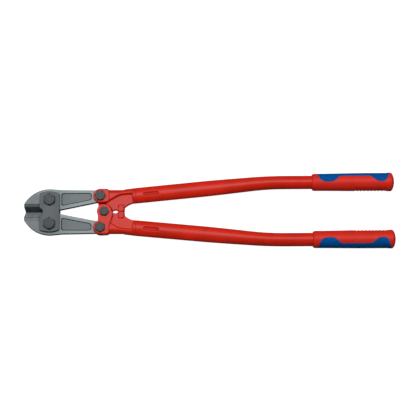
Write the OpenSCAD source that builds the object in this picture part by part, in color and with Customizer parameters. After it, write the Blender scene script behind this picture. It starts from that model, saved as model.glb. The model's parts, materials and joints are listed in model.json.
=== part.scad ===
// Long-handled bolt cutters, closed. +X runs from the jaws to the grips, +Y across the two handles,
// +Z out of the face that carries the bolt heads. The tool lies on z = 0, on its nuts and its grip ends.
// Each handle has a forged bracket with a fork, which holds the tail of one blade, and a half-thick lug.
// The two lugs lap on the centre bolt. The two blades turn on the head bolts between two link plates.

/* [Overall] */
// Length from the blade noses to the grip ends
overall_length = 760; // [752:1:768]
// Height of the middle plane above the face the tool lies on
mid_height = 19.3; // [19.3:0.1:20.5]

/* [Pivots] */
// Distance from the noses back to the head bolts
nose_to_head = 52.7; // [51:0.1:54]
// Distance along the tool from the head bolts to the ear bolts
head_to_ear = 103.7; // [103:0.1:105]
// Distance along the tool from the ear bolts to the centre bolt
ear_to_centre = 8.2; // [8:0.1:8.6]
// Distance of each head bolt from the middle line
head_offset = 24.9; // [24.5:0.1:25.5]
// Distance of each ear bolt from the middle line
ear_offset = 32.8; // [32.6:0.1:33.4]
// Opening angle between the two handles
handle_opening = 90; // [60:1:90]
// Turn of each blade about its head bolt when the handles are fully open
blade_turn = 8.5; // [7:0.1:8.6]

/* [Blades] */
// Thickness of a blade
blade_t = 13; // [12:0.1:13]
// Depth of the notch where the two noses meet
nose_notch = 3.1; // [1:0.1:4]
// Radius of the outer edge of a jaw
jaw_r = 60.5; // [60:0.1:62]
// Outer edge of a jaw, from the middle line to its widest point
jaw_half = 47.5; // [47:0.1:48.5]
// Radius of the rounded end of a blade's tail
tail_r = 11.5; // [11:0.1:11.6]
// Width of the whole cutting bevel
bevel_w = 16.3; // [14:0.1:17]
// Width of the steep part of the cutting bevel
bevel_steep_w = 12; // [10:0.1:13]
// Depth of the shallow part of the cutting bevel
bevel_shallow_d = 0.9; // [0.4:0.1:1.5]
// Half the thickness left at the cutting edge
edge_half_t = 0.6; // [0.3:0.1:1.5]
// Length of the cutting bevel from the nose
bevel_len = 38.5; // [36:0.5:40]
// Depth of the recessed panels in the tail
panel_d = 0.7; // [0.3:0.1:1]
// Width of the rim around a recessed panel
panel_rim = 6.9; // [6:0.1:8]

/* [Link plates] */
// Length of a link plate along the tool
plate_len = 40.4; // [38:0.1:42]
// Half the width of a link plate across the tool
plate_half = 42; // [41:0.1:43]
// Thickness of a link plate
plate_t = 5.5; // [5:0.1:6]
// Radius of the arc at each end of a link plate
plate_end_r = 48; // [40:1:60]
// Radius of the half-round throat in the front edge of a plate
throat_r = 6.5; // [5:0.1:7.5]

/* [Brackets] */
// Radius of a fork ear about its bolt
ear_r = 14.5; // [14:0.1:14.6]
// Radius of the half-thick lug about the centre bolt
lug_r = 15; // [14.5:0.1:15]
// Thickness of one fork cheek
cheek_t = 5; // [4.5:0.1:5]
// Half the thickness of the raised arm
arm_half_t = 10; // [9:0.1:10.5]
// Half the thickness of the flat web
web_half_t = 5.5; // [5:0.1:6.5]
// Length of the collar that the tube butts against
collar_len = 6.8; // [5:0.1:8]
// Length of the tang inside the tube
tang_len = 60; // [50:1:70]
// Size along the tool of the stop pad
pad_len = 10.9; // [9:0.1:11.5]
// Size of one stop pad across the tool
pad_w = 13.3; // [11:0.1:14]
// Half the thickness of a stop pad
pad_half_t = 8; // [7:0.1:9]
// Length of the oval hole between the webs
oval_len = 10.9; // [8:0.1:11]
// Width of the oval hole between the webs
oval_w = 6.7; // [5:0.1:8]

/* [Handles] */
// Outer diameter of the round tube in the grip
tube_d = 27.6; // [27:0.1:28]
// Width of the flattened tube at the bracket
tube_wide = 32.5; // [31:0.1:33]
// Thickness of the flattened tube at the bracket
tube_flat = 22.2; // [22:0.1:24]
// Wall of the tube
tube_wall = 2; // [1.5:0.1:2.2]
// Distance of each grip's axis from the middle line
grip_offset = 59.5; // [59:0.1:60]
// Angle of the straight part of each tube to the middle line
splay = 5.45; // [5.2:0.05:5.7]
// Place along the tool of the middle of the bend
bend_x = 119.5; // [115:0.5:124]
// Length of each half of the bend
bend_half = 35.5; // [25:0.5:40]

/* [Grips] */
// Length of a grip
grip_len = 169; // [165:1:172]
// Diameter of the grip at its front collar
grip_front_d = 35.4; // [34.5:0.1:36]
// Diameter of the grip where the hand ends
grip_rear_d = 37.4; // [36.5:0.1:37.8]
// Diameter of the flange at the end
grip_end_d = 38.6; // [38:0.1:38.6]
// Thickness of the soft inlay
inlay_t = 2; // [1.5:0.1:2.4]
// Number of ribs on the inner side
ribs = 9; // [6:1:10]
// Distance from rib to rib
rib_pitch = 7.2; // [5:0.1:7.4]
// Depth of the grooves between the ribs
rib_d = 0.9; // [0.4:0.1:1.2]

/* [Fasteners] */
// Shank diameter of a head bolt
head_bolt_d = 14; // [12:0.5:15]
// Size across the flats of a head bolt's head and nut
head_flats = 22; // [21:0.5:22]
// Shank diameter of an ear bolt
ear_bolt_d = 12; // [10:0.5:12]
// Size across the flats of an ear bolt's head and nut
ear_flats = 19; // [18:0.5:19]
// Shank diameter of the centre bolt
centre_bolt_d = 11; // [10:0.5:12]
// Size across the flats of the centre bolt's head and nut
centre_flats = 17; // [16:0.5:17]
// Height of a head bolt's head
head_head_h = 6; // [4:0.1:7]
// Height of an ear bolt's head
ear_head_h = 5.6; // [4:0.1:7]
// Height of the centre bolt's head
centre_head_h = 5.2; // [4:0.1:7]
// Thickness of a washer
washer_t = 1.2; // [1:0.1:1.5]

/* [Hidden] */
$fn = 96;

// Clearances
face_gap = 0.15;     // between a blade and what it slides on
half_gap = 0.1;      // from the middle line or the middle plane to each part that meets there
run_gap = 0.05;      // radial, between a bolt and its hole
sweep_gap = 0.5;     // around what turns past a solid wall

// Places along the tool
nose_x = -overall_length / 2;
head_x = nose_x + nose_to_head;
ear_x = head_x + head_to_ear;
centre_x = ear_x + ear_to_centre;
grip_end_x = overall_length / 2;
grip_x = grip_end_x - grip_len;
tube_end_x = grip_end_x - 6;

// Levels about the middle plane
blade_z = blade_t / 2;
plate_z = blade_z + face_gap;
plate_top = plate_z + plate_t;
cheek_z = blade_z + face_gap;
cheek_top = cheek_z + cheek_t;
far = 200;

// Tube
tube_start_x = -151;
tube_start_d = (bend_x - tube_start_x) / cos(splay);
straight_len = tube_start_d - bend_half;
bend_r = bend_half / tan(splay / 2);
bend_len = bend_r * splay * PI / 180;
tube_start = [bend_x - tube_start_d * cos(splay), grip_offset - tube_start_d * sin(splay)];
taper_from = 131;
taper_to = 292;

// Angles of the travel, seen from one handle
handle_turn = handle_opening / 2;
tail_turn = handle_turn + blade_turn;

function smooth(t) = let (c = min(1, max(0, t))) c * c * (3 - 2 * c);
function mix(a, b, t) = a + (b - a) * t;
function arc(cx, cy, r, from, to, steps) =
    [for (i = [0 : steps]) let (a = mix(from, to, i / steps)) [cx + r * cos(a), cy + r * sin(a)]];
function oval(half_x, half_y, steps = 48) =
    [for (i = [0 : steps - 1]) let (a = 360 * i / steps) [half_x * cos(a), half_y * sin(a)]];

// Everything is drawn about the middle plane and lifted onto the ground. The two handles are one
// forging, tube and grip turned over about X, and the two blades are mirror images.
module lifted() { translate([0, 0, mid_height]) children(); }
module turned_over() { translate([0, 0, mid_height]) rotate([180, 0, 0]) children(); }
module mirrored() { translate([0, 0, mid_height]) mirror([0, 1, 0]) children(); }

module slab(bottom, top) {
    translate([0, 0, bottom]) linear_extrude(top - bottom) children();
}

module hole(x, y, d) {
    translate([x, y, -far / 2]) cylinder(h = far, d = d);
}

// ---------------------------------------------------------------- fasteners

// A hexagonal body from z = 0 to h. Its top corners are chamfered, and its bottom ones when both is true
module hexagon(h, flats, turn, both) {
    corner_r = flats / 2 / cos(30);
    face_r = flats / 2 - 0.3;
    cut = 1.2;
    bottom = both ? [[face_r, 0], [corner_r, cut]] : [[corner_r, 0]];
    rotate([0, 0, turn]) intersection() {
        cylinder(h = h, r = corner_r, $fn = 6);
        rotate_extrude()
            polygon(concat([[0, 0]], bottom, [[corner_r, h - cut], [face_r, h], [0, h]]));
    }
}

// A bolt with a hexagonal head in front and its end inside the nut behind
module bolt(x, y, under, head_h, flats, shank_d, turn) {
    shank_r = shank_d / 2;
    chamfer = 1;
    end = -mid_height + 0.6;
    translate([x, y, 0]) {
        rotate_extrude()
            polygon([[0, end], [shank_r - chamfer, end], [shank_r, end + chamfer],
                [shank_r, under + 1], [0, under + 1]]);
        translate([0, 0, under]) hexagon(head_h, flats, turn, false);
    }
}

module washer(x, y, top, outer_d, hole_d) {
    translate([x, y, top - washer_t]) difference() {
        cylinder(h = washer_t, d = outer_d);
        translate([0, 0, -1]) cylinder(h = washer_t + 2, d = hole_d + 2 * run_gap);
    }
}

// A nut from top down to the ground
module nut(x, y, top, flats, hole_d) {
    h = top + mid_height;
    translate([x, y, -mid_height]) difference() {
        hexagon(h, flats, 0, true);
        translate([0, 0, -1]) cylinder(h = h + 2, d = hole_d + 2 * run_gap);
    }
}

// ---------------------------------------------------------------- head

module link_plate_shape() {
    arc_y = plate_half - plate_end_r;
    difference() {
        intersection() {
            translate([head_x, 0]) square([plate_len, 4 * plate_half], center = true);
            translate([head_x, arc_y]) circle(r = plate_end_r);
            translate([head_x, -arc_y]) circle(r = plate_end_r);
        }
        translate([head_x - plate_len / 2, 0]) circle(r = throat_r);
        for (side = [-1, 1])
            translate([head_x, side * head_offset]) circle(d = head_bolt_d + 2 * run_gap);
    }
}

module front_link_plate() {
    color("dimgray") lifted() slab(plate_z, plate_top) link_plate_shape();
}

module rear_link_plate() {
    color("dimgray") lifted() slab(-plate_top, -plate_z) link_plate_shape();
}

module head_bolt(side) {
    bolt(head_x, side * head_offset, plate_top, head_head_h, head_flats, head_bolt_d, 30);
}

module upper_head_bolt() { color("slategray") lifted() head_bolt(1); }
module lower_head_bolt() { color("slategray") lifted() head_bolt(-1); }

module head_washers() {
    color("gray") lifted() for (side = [-1, 1])
        washer(head_x, side * head_offset, -plate_top, head_flats + 3, head_bolt_d);
}

module head_nuts() {
    color("slategray") lifted() for (side = [-1, 1])
        nut(head_x, side * head_offset, -plate_top - washer_t, head_flats, head_bolt_d);
}

// ---------------------------------------------------------------- blades

// Inner edge of the tail: a line from the middle line at the head bolt, tangent to the tail's end
tail_reach = norm([head_to_ear, ear_offset - half_gap]);
tail_slope = atan2(ear_offset - half_gap, head_to_ear) - asin(tail_r / tail_reach);
jaw_y = jaw_half - jaw_r;
nose_angle = 180 - acos((head_x - nose_x) / jaw_r);
// Where the shoulder falls from the jaw's outer edge to the tail
shoulder_x = head_x + 23.5;
shoulder_y = jaw_half - 2;

module blade_outline() {
    polygon(concat(
        [[nose_x + nose_notch, half_gap], [head_x, half_gap]],
        arc(ear_x, ear_offset, tail_r, tail_slope - 90, 90, 24),
        [[shoulder_x, shoulder_y]],
        arc(head_x, jaw_y, jaw_r, 84, nose_angle, 24)));
}

// Recessed panel: the tail's outline moved in by the rim
module panel_outline() {
    end_r = tail_r - panel_rim + 1.5;
    left = head_x + plate_len / 2 + 3.5;
    low = (left + end_r - head_x) * tan(tail_slope) + half_gap + (panel_rim + end_r) / cos(tail_slope);
    hull() {
        translate([ear_x - 24, ear_offset + 0.2]) circle(r = end_r, $fn = 32);
        translate([left + end_r, shoulder_y - panel_rim - end_r]) circle(r = end_r, $fn = 32);
        translate([left + end_r, low]) circle(r = end_r, $fn = 32);
    }
}

// What is ground away in front of the cutting bevel, as a section across the tool
module bevel_section() {
    polygon([[-1, edge_half_t], [half_gap, edge_half_t], [bevel_steep_w, blade_z - bevel_shallow_d],
        [bevel_w, blade_z], [bevel_w, far], [-1, far]]);
}

// The upper blade isn't hinged to its head bolt: its hole is a slot that lets the bolt wander
open_pivot_drop = 4.4;
slot_side = 1;

// slot_drop is how far the slot reaches below the bolt, or 0 for a round hole
module blade(slot_drop) {
    difference() {
        slab(-blade_z, blade_z) blade_outline();
        hole(ear_x, ear_offset, ear_bolt_d + 2 * run_gap);
        if (slot_drop == 0) {
            hole(head_x, head_offset, head_bolt_d + 2 * run_gap);
        } else {
            slab(-far, far) hull() {
                translate([head_x, head_offset + 0.1])
                    circle(d = head_bolt_d + slot_side, $fn = 64);
                translate([head_x, head_offset - slot_drop])
                    circle(d = head_bolt_d + slot_side, $fn = 64);
            }
        }
        for (face = [0, 1]) mirror([0, 0, face]) {
            translate([nose_x - 1, 0, 0]) rotate([90, 0, 90])
                linear_extrude(bevel_len + 1) bevel_section();
            slab(blade_z - panel_d, far) panel_outline();
        }
    }
}

module upper_blade() { color("darkgray") lifted() blade(open_pivot_drop); }
module lower_blade() { color("darkgray") mirrored() blade(0); }

// ---------------------------------------------------------------- brackets

arm_outer = ear_offset + ear_r;
crotch_x = -173.7;
collar_x = tube_start_x - collar_len;
oval_x = centre_x + 22.4;
pad_x = crotch_x - 2 - pad_len;

// Inner edge of the raised arm, from the ear to the collar
arm_inner = [[centre_x + 3.5, 18.8], [centre_x + 13.8, 23.3], [centre_x + 19.5, 26.5],
    [centre_x + 25.5, 30.3], [centre_x + 32.9, 33.2], [crotch_x, 34.4], [collar_x, 35.5]];
// Outer edge of the arm, from the collar back to the ear
arm_outer_edge = [[collar_x, 49], [crotch_x + 1, arm_outer], [crotch_x - 3.5, 45.9],
    [ear_x + 20, 45.9], [ear_x + 16.5, arm_outer - 0.4]];
cheek_end_x = ear_x + 18;

module arm_outline() {
    polygon(concat(arm_inner, arm_outer_edge, [[ear_x, arm_outer], [ear_x, ear_offset]]));
}

module cheek_outline() {
    translate([ear_x, ear_offset]) circle(r = ear_r);
    polygon([[ear_x, ear_offset - ear_r], [centre_x + 3.5, 18.8], [cheek_end_x, 21],
        [cheek_end_x, arm_outer - 0.4], [ear_x, arm_outer]]);
}

// Half-thick strap from the ear to the centre bolt
module lug_outline() {
    translate([centre_x, 0]) circle(r = lug_r);
    polygon([[centre_x - 12.9, 5], [ear_x - 4.7, 20], [ear_x, ear_offset], [ear_x + 16, 38],
        [centre_x + 17.3, 7.2], [centre_x + 16, half_gap], [centre_x, half_gap]]);
}

module web_outline() {
    polygon(concat([[centre_x + 4, half_gap], [crotch_x, half_gap], [crotch_x, 8.8],
        [crotch_x + 5.4, 12.6], [crotch_x + 11.2, 15.7], [collar_x + 1, 17.3]],
        [[collar_x + 1, 40]], [[crotch_x, 40], [centre_x + 20, 34], [centre_x + 4, 25]]));
}

// Room for the blade's tail, from closed to fully open
module tail_room() {
    r = tail_r + sweep_gap;
    open_a = 90 - tail_turn;
    reach = 60;
    translate([ear_x, ear_offset]) {
        circle(r = r);
        polygon([[0, 0], [r * cos(open_a), r * sin(open_a)],
            [r * cos(open_a) - reach * sin(open_a), r * sin(open_a) + reach * cos(open_a)],
            [-reach, reach],
            [-reach * cos(tail_slope) + r * sin(tail_slope),
                -reach * sin(tail_slope) - r * cos(tail_slope)],
            [r * sin(tail_slope), -r * cos(tail_slope)]]);
    }
}

// A piece of the tube's oval section, solid, along the straight part of the tube
module oval_bar(from, to, half_y, half_z) {
    translate([tube_start[0], tube_start[1], 0]) rotate([0, 0, splay])
        translate([from, 0, 0]) rotate([90, 0, 90])
            linear_extrude(to - from) polygon(oval(half_y, half_z));
}

module bracket() {
    difference() {
        union() {
            slab(-cheek_top, cheek_top) cheek_outline();
            slab(-arm_half_t, arm_half_t) arm_outline();
            slab(-cheek_top, -half_gap) lug_outline();
            difference() {
                slab(-web_half_t, web_half_t) web_outline();
                slab(-half_gap, far) translate([centre_x, 0]) circle(r = lug_r + 0.4);
            }
            oval_bar(-collar_len, 0, tube_wide / 2, tube_flat / 2);
            oval_bar(-1, tang_len, tube_wide / 2 - tube_wall - half_gap,
                tube_flat / 2 - tube_wall - half_gap);
        }
        slab(-cheek_z, cheek_z) tail_room();
        hole(ear_x, ear_offset, ear_bolt_d + 2 * run_gap);
        hole(centre_x, 0, centre_bolt_d + 2 * run_gap);
        slab(-far, far) translate([oval_x, 0]) polygon(oval(oval_len / 2, oval_w / 2));
        translate([pad_x, -1, -far]) cube([pad_len, pad_w + half_gap + 1, 2 * far]);
    }
}

module upper_bracket() { color("crimson") lifted() bracket(); }
module lower_bracket() { color("crimson") turned_over() bracket(); }

module stop_pad() {
    crown = 1.5;
    translate([pad_x, half_gap, 0]) rotate([90, 0, 90]) linear_extrude(pad_len)
        polygon([[0, -pad_half_t + crown], [crown, -pad_half_t], [pad_w - 2 * crown, -pad_half_t],
            [pad_w, -web_half_t], [pad_w, web_half_t], [pad_w - 2 * crown, pad_half_t],
            [crown, pad_half_t], [0, pad_half_t - crown]]);
}

module upper_stop_pad() { color("red") lifted() stop_pad(); }
module lower_stop_pad() { color("red") turned_over() stop_pad(); }

module ear_bolt(side, turn) {
    bolt(ear_x, side * ear_offset, cheek_top, ear_head_h, ear_flats, ear_bolt_d, turn);
}
module ear_washer(side) {
    washer(ear_x, side * ear_offset, -cheek_top, ear_flats + 3, ear_bolt_d);
}
module ear_nut(side) {
    nut(ear_x, side * ear_offset, -cheek_top - washer_t, ear_flats, ear_bolt_d);
}

module upper_ear_bolt() { color("darkslategray") lifted() ear_bolt(1, 0); }
module upper_ear_washer() { color("gray") lifted() ear_washer(1); }
module upper_ear_nut() { color("darkslategray") lifted() ear_nut(1); }
module lower_ear_bolt() { color("darkslategray") lifted() ear_bolt(-1, 30); }
module lower_ear_washer() { color("gray") lifted() ear_washer(-1); }
module lower_ear_nut() { color("darkslategray") lifted() ear_nut(-1); }

module centre_bolt() {
    color("darkslategray") lifted()
        bolt(centre_x, 0, cheek_top, centre_head_h, centre_flats, centre_bolt_d, -9);
}

module centre_washer() {
    color("gray") lifted()
        washer(centre_x, 0, -cheek_top - half_gap, centre_flats + 3, centre_bolt_d);
}

module centre_nut() {
    color("darkslategray") lifted()
        nut(centre_x, 0, -cheek_top - half_gap - washer_t, centre_flats, centre_bolt_d);
}

// ---------------------------------------------------------------- handles

// Place, direction and section of the tube at a distance along it
function tube_turn(d) = splay * (1 - min(1, max(0, (d - straight_len) / bend_len)));
function tube_point(d) =
    d <= straight_len ? tube_start + d * [cos(splay), sin(splay)] :
    d <= straight_len + bend_len ?
        [bend_x + bend_half - bend_r * sin(tube_turn(d)),
            grip_offset - bend_r * (1 - cos(tube_turn(d)))] :
        [bend_x + bend_half + d - straight_len - bend_len, grip_offset];
function half_wide(d) = mix(tube_wide, tube_d, smooth((d - taper_from) / (taper_to - taper_from))) / 2;
function half_flat(d) = mix(tube_flat, tube_d, smooth((d - taper_from) / (taper_to - taper_from))) / 2;
function tube_ring(d, wall, sides) =
    let (p = tube_point(d), turn = tube_turn(d), ry = half_wide(d) - wall, rz = half_flat(d) - wall)
    [for (i = [0 : sides - 1]) let (a = 360 * i / sides)
        [p[0] - ry * cos(a) * sin(turn), p[1] + ry * cos(a) * cos(turn), rz * sin(a)]];

module tube() {
    sides = 40;
    steps = 16;
    total = straight_len + bend_len + tube_end_x - bend_x - bend_half;
    stations = concat([0], [for (i = [0 : steps]) mix(taper_from, taper_to + 20, i / steps)], [total]);
    n = len(stations);
    outer = [for (d = stations) each tube_ring(d, 0, sides)];
    inner = [for (d = stations) each tube_ring(d, tube_wall, sides)];
    skip = n * sides;
    side_faces = [for (k = [0 : n - 2], i = [0 : sides - 1])
        let (j = (i + 1) % sides, a = k * sides, b = a + sides) [a + i, b + i, b + j, a + j]];
    bore_faces = [for (f = side_faces) [f[3] + skip, f[2] + skip, f[1] + skip, f[0] + skip]];
    start_faces = [for (i = [0 : sides - 1])
        let (j = (i + 1) % sides) [i, j, j + skip, i + skip]];
    last = skip - sides;
    end_faces = [for (f = start_faces) [f[3] + last, f[2] + last, f[1] + last, f[0] + last]];
    polyhedron(points = concat(outer, inner),
        faces = concat(side_faces, bore_faces, start_faces, end_faces));
}

module upper_tube() { color("crimson") lifted() tube(); }
module lower_tube() { color("crimson") turned_over() tube(); }

// ---------------------------------------------------------------- grips

// Outer outline of the grip, as radius against place along the tool
flange_x = grip_end_x - 15.6;
dome_x = grip_end_x - 8;
grip_front_r = grip_front_d / 2;
grip_rear_r = grip_rear_d / 2;
grip_end_r = grip_end_d / 2;
grip_side = concat([[grip_front_r - 2, grip_x], [grip_front_r, grip_x + 2.5],
    [grip_rear_r, grip_x + 110], [grip_rear_r, flange_x], [grip_end_r, flange_x + 2.5],
    [grip_end_r, dome_x]]);
grip_dome = [for (i = [1 : 11]) let (a = 90 * i / 12) [grip_end_r * cos(a), dome_x + 8 * sin(a)]];

// Turns an outline drawn as [radius, place along the tool] about the grip's axis
module about_grip() {
    translate([0, grip_offset, 0]) rotate([0, 90, 0]) rotate_extrude() children();
}

// Edge of the soft inlay seen from the front: two feet joined by a thin strip on the outer side
module inlay_outline() {
    foot_y = grip_offset - 1.9;
    strip_y = grip_offset + 11.7;
    polygon([[grip_x + 9, grip_offset + 30], [grip_x + 10, strip_y], [grip_x + 16, foot_y + 3],
        [grip_x + 20, foot_y], [grip_x + 44, foot_y], [grip_x + 47, foot_y + 2],
        [grip_x + 59, strip_y], [grip_x + 117, strip_y], [grip_x + 126, foot_y + 5],
        [grip_x + 132, foot_y], [grip_x + 149, foot_y], [grip_x + 153, foot_y + 3],
        [grip_x + 157, strip_y], [grip_x + 158, grip_offset + 30]]);
}

// The skin that the inlay takes from the grip
module inlay_skin() {
    intersection() {
        difference() {
            about_grip() polygon(concat([[0, grip_x]], grip_side, grip_dome, [[0, grip_end_x]]));
            about_grip() polygon([[0, grip_x], [grip_front_r - inlay_t, grip_x],
                [grip_rear_r - inlay_t, grip_x + 110], [grip_rear_r - inlay_t, grip_end_x],
                [0, grip_end_x]]);
        }
        slab(-far / 2, far / 2) inlay_outline();
    }
}

// Grooves between the ribs, on the side that faces the other handle
module rib_grooves() {
    first_x = flange_x - 2 - ribs * rib_pitch;
    groove_w = 4.4;
    sweep = 120;
    for (i = [0 : ribs - 1]) translate([first_x + i * rib_pitch, grip_offset, 0]) rotate([0, 90, 0])
        rotate([0, 0, 270 - sweep / 2]) rotate_extrude(angle = sweep)
            polygon([[grip_rear_r - rib_d, 1], [grip_rear_r + 1, 0], [grip_rear_r + 1, groove_w],
                [grip_rear_r - rib_d, groove_w - 1]]);
}

module grip() {
    difference() {
        about_grip() polygon(concat([[0, grip_x]], grip_side, grip_dome, [[0, grip_end_x]]));
        translate([grip_x - 1, grip_offset, 0]) rotate([0, 90, 0])
            cylinder(h = tube_end_x - grip_x + 1.2, d = tube_d + 2 * run_gap);
        inlay_skin();
        rib_grooves();
    }
}

module upper_grip() { color("firebrick") lifted() grip(); }
module lower_grip() { color("firebrick") turned_over() grip(); }
module upper_grip_inlay() { color("royalblue") lifted() inlay_skin(); }
module lower_grip_inlay() { color("royalblue") turned_over() inlay_skin(); }

front_link_plate();
rear_link_plate();
upper_head_bolt();
lower_head_bolt();
head_washers();
head_nuts();
upper_blade();
lower_blade();
upper_bracket();
upper_stop_pad();
upper_tube();
upper_grip();
upper_grip_inlay();
upper_ear_bolt();
upper_ear_washer();
upper_ear_nut();
lower_bracket();
lower_stop_pad();
lower_tube();
lower_grip();
lower_grip_inlay();
lower_ear_bolt();
lower_ear_washer();
lower_ear_nut();
centre_bolt();
centre_washer();
centre_nut();
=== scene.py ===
"""Long-handled bolt cutters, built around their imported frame.

Each piece is modelled in millimetres about the tool's middle plane, with +X towards the grips, +Y towards
the upper handle and +Z towards the bolt heads, and is placed in the frame in metres when it is done.
The two handles are one set of pieces turned over about X, and the two blades are mirror images.
"""

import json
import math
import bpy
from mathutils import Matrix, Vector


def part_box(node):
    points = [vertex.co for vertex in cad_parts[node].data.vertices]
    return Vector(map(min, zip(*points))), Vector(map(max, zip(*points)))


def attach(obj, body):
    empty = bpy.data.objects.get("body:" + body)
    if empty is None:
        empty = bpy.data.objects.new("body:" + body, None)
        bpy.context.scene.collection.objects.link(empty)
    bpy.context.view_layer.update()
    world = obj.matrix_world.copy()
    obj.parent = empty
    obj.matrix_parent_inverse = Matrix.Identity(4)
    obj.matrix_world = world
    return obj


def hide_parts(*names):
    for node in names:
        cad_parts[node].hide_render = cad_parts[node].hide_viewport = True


bl_info = {
    "name": "Bolt Cutters",
    "version": (1, 0, 0),
    "blender": (4, 5, 0),
    "location": "View3D > Sidebar > Cutters",
    "description": "Builds the finished pieces of a pair of long-handled bolt cutters on their frame",
    "category": "Object",
}

import bpy
import numpy as np
from mathutils import Matrix, Vector

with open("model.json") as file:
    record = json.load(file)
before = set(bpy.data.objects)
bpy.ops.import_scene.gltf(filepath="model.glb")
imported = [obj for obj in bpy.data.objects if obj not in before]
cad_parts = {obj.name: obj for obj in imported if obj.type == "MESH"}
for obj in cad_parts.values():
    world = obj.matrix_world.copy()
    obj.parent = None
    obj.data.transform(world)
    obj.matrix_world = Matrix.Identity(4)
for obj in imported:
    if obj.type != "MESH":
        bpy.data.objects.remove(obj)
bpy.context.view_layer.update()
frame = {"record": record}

MM = 0.001
# A length in millimetres that reaches past every piece
FAR = 200
SIDEWAYS = (0, 1, 0)
REARWARDS = (0, 0, 1)
NODE_BODY = {node: body for body, nodes in frame["record"]["behaviour"]["bodies"].items() for node in nodes}

# ---------------------------------------------------------------- places taken from the frame

mid_z = sum(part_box("upper_blade"), Vector()).z / 2


def node_box(node):
    """Lowest and highest corner of a node in millimetres about the middle plane"""
    lift = Vector((0, 0, mid_z))
    return [(corner - lift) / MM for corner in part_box(node)]


def node_middle(node):
    low, high = node_box(node)
    return (low + high) / 2


HEAD = node_middle("upper_head_bolt")
EAR = node_middle("upper_ear_bolt")
CENTRE = node_middle("centre_bolt")
NOSE_X = node_box("upper_blade")[0].x
GRIP_END_X = node_box("upper_grip")[1].x
GRIP_X = node_box("upper_grip")[0].x
GRIP_Y = node_middle("upper_grip").y
TUBE_X = node_box("upper_tube")[0].x
TUBE_END_X = node_box("upper_tube")[1].x
BLADE_Z = node_box("upper_blade")[1].z
CHEEK_Z = node_box("upper_bracket")[1].z
PLATE_LOW, PLATE_HIGH = node_box("front_link_plate")
HALF_GAP = 0.1


# ---------------------------------------------------------------- what a user would change


def srgb(red, green, blue):
    """Linear colour of an 8-bit one"""
    parts = [value / 255 for value in (red, green, blue)]
    return tuple(p / 12.92 if p <= 0.04045 else ((p + 0.055) / 1.055) ** 2.4 for p in parts)


def length(name, description, value, low=0.0, high=1.0):
    return bpy.props.FloatProperty(
        name=name, description=description, default=value * MM, min=low, max=high, unit="LENGTH", precision=5
    )


def colour(name, description, value):
    return bpy.props.FloatVectorProperty(
        name=name, description=description, default=srgb(*value), size=3, min=0, max=1, subtype="COLOR"
    )


class CutterSizes(bpy.types.PropertyGroup):
    """Sizes of the finished surfaces"""

    steel_edge: length("Steel edges", "Rounding of the blades' and plates' edges", 0.45)
    bolt_edge: length("Bolt edges", "Rounding of the bolt heads' and nuts' edges", 0.35)
    forged_voxel: length("Forging grain", "Size of the steps in which the brackets are blended", 0.62)
    panel_depth: length("Panel depth", "Depth of the recessed panels in the blades", 1.2)
    dimple_depth: length("Dimple depth", "Depth of the crimps that hold each tube on its bracket", 1.8)
    rib_depth: length("Rib depth", "Depth of the grooves between the ribs of a grip", 0.9)
    rib_pitch: length("Rib pitch", "Distance from rib to rib of a grip", 7.2)
    tube_wall: length("Tube wall", "Thickness of the tubes' wall", 2)
    inlay_gap: length("Inlay gap", "Width of the groove around the soft inlay of a grip", 0.3)
    forged_smoothing: bpy.props.IntProperty(
        name="Forging smoothing", description="Passes that soften a bracket's edges", default=9, min=0, max=40
    )


class CutterColours(bpy.types.PropertyGroup):
    """Colours of the finishes"""

    paint: colour("Paint", "Red powder coat of the brackets and tubes", (204, 30, 5))
    pad: colour("Stop pads", "Red of the stop pads", (200, 27, 12))
    grip: colour("Grip shell", "Red moulded plastic", (206, 36, 19))
    inlay: colour("Grip inlay", "Blue soft plastic", (0, 76, 145))
    blade: colour("Blades", "Blasted steel", (94, 101, 103))
    plate: colour("Link plates", "Dark phosphated steel", (70, 75, 79))
    bolt: colour("Bolts", "Black oxide steel", (47, 51, 51))
    washer: colour("Washers", "Zinc plated steel", (150, 153, 154))


# ---------------------------------------------------------------- modelling helpers


def clear_selection():
    if bpy.context.object and bpy.context.object.mode != "OBJECT":
        bpy.ops.object.mode_set(mode="OBJECT")
    bpy.ops.object.select_all(action="DESELECT")


def pick(piece):
    """Makes the piece the only selected object, and the active one"""
    clear_selection()
    piece.select_set(True)
    bpy.context.view_layer.objects.active = piece


def edit(piece, faces=None):
    """Opens the piece in edit mode with all its faces selected, or only those numbered in faces"""
    pick(piece)
    mesh = piece.data
    chosen = np.ones(len(mesh.polygons), bool)
    if faces is not None:
        chosen[:] = False
        chosen[faces] = True
    bpy.ops.object.mode_set(mode="EDIT")
    bpy.ops.mesh.select_mode(type="FACE")
    bpy.ops.mesh.select_all(action="DESELECT")
    bpy.ops.object.mode_set(mode="OBJECT")
    mesh.polygons.foreach_set("select", chosen)
    bpy.ops.object.mode_set(mode="EDIT")


def close():
    bpy.ops.object.mode_set(mode="OBJECT")


def draw(name, points, fill=True):
    """A new object, left in edit mode, whose points are joined one after the other and filled"""
    clear_selection()
    bpy.ops.mesh.primitive_plane_add(size=1)
    piece = bpy.context.object
    piece.name = name
    bpy.ops.object.mode_set(mode="EDIT")
    bpy.ops.mesh.select_mode(type="VERT")
    bpy.ops.mesh.select_all(action="SELECT")
    bpy.ops.mesh.merge(type="CENTER")
    bpy.ops.transform.translate(value=points[0])
    for here, after in zip(points, points[1:]):
        bpy.ops.mesh.extrude_vertices_move(TRANSFORM_OT_translate={"value": Vector(after) - Vector(here)})
    bpy.ops.mesh.select_all(action="SELECT")
    if fill:
        bpy.ops.mesh.edge_face_add()
    return piece


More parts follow.
